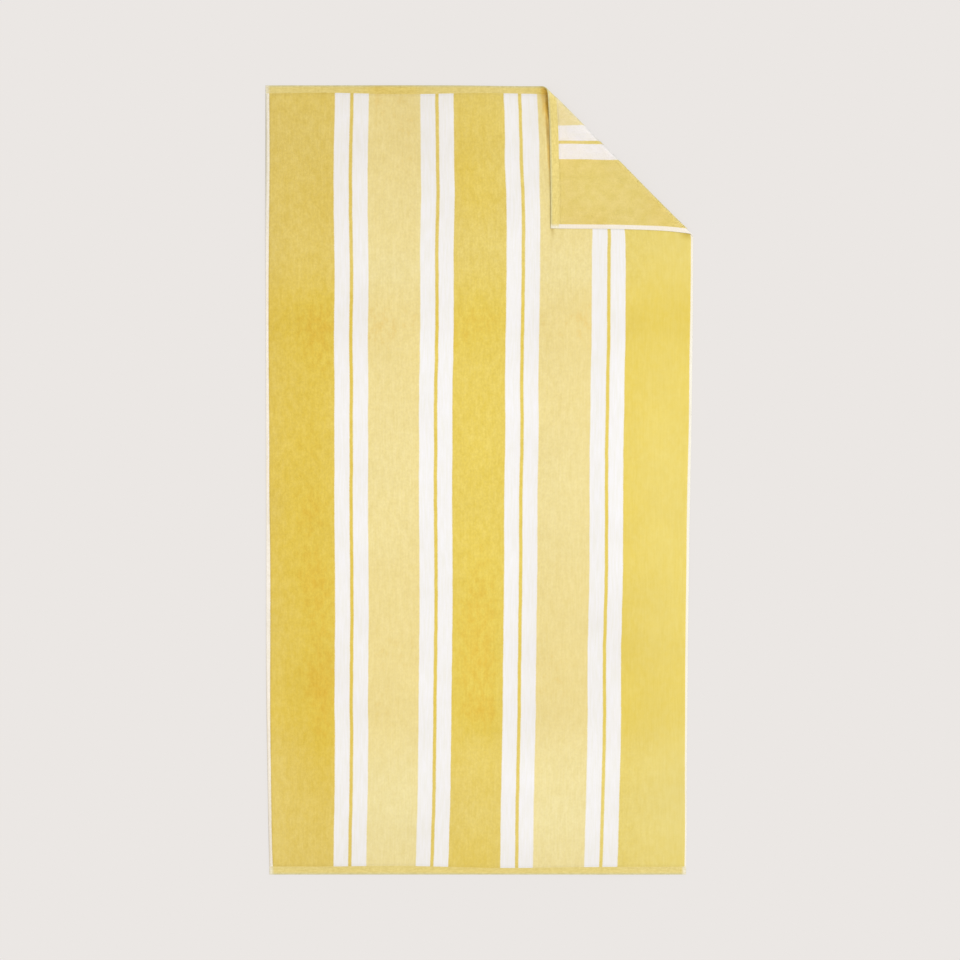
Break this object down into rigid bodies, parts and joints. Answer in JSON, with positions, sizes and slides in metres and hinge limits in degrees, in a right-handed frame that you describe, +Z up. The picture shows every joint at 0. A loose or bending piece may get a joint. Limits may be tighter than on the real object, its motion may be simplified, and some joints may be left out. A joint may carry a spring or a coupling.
{
  "type": "beach towel",
  "caption": "Striped cotton beach towel lying flat, velour face up, with its far right corner turned over at 45 degrees.",
  "frame": {"origin": "on the floor, in the middle of the rectangle that the towel covers", "axes": "+X across the towel to the right, +Y along it towards the far hem, +Z up from the floor"},
  "size_m": [0.8672, 1.6, 0.0195],
  "materials": {
    "towel": "soft matte cotton velour with warp stripes, terry loops on the back, flat-woven hems and selvedges"
  },
  "bodies": {
    "root": {"towel": "towel"}
  },
  "joints": []
}
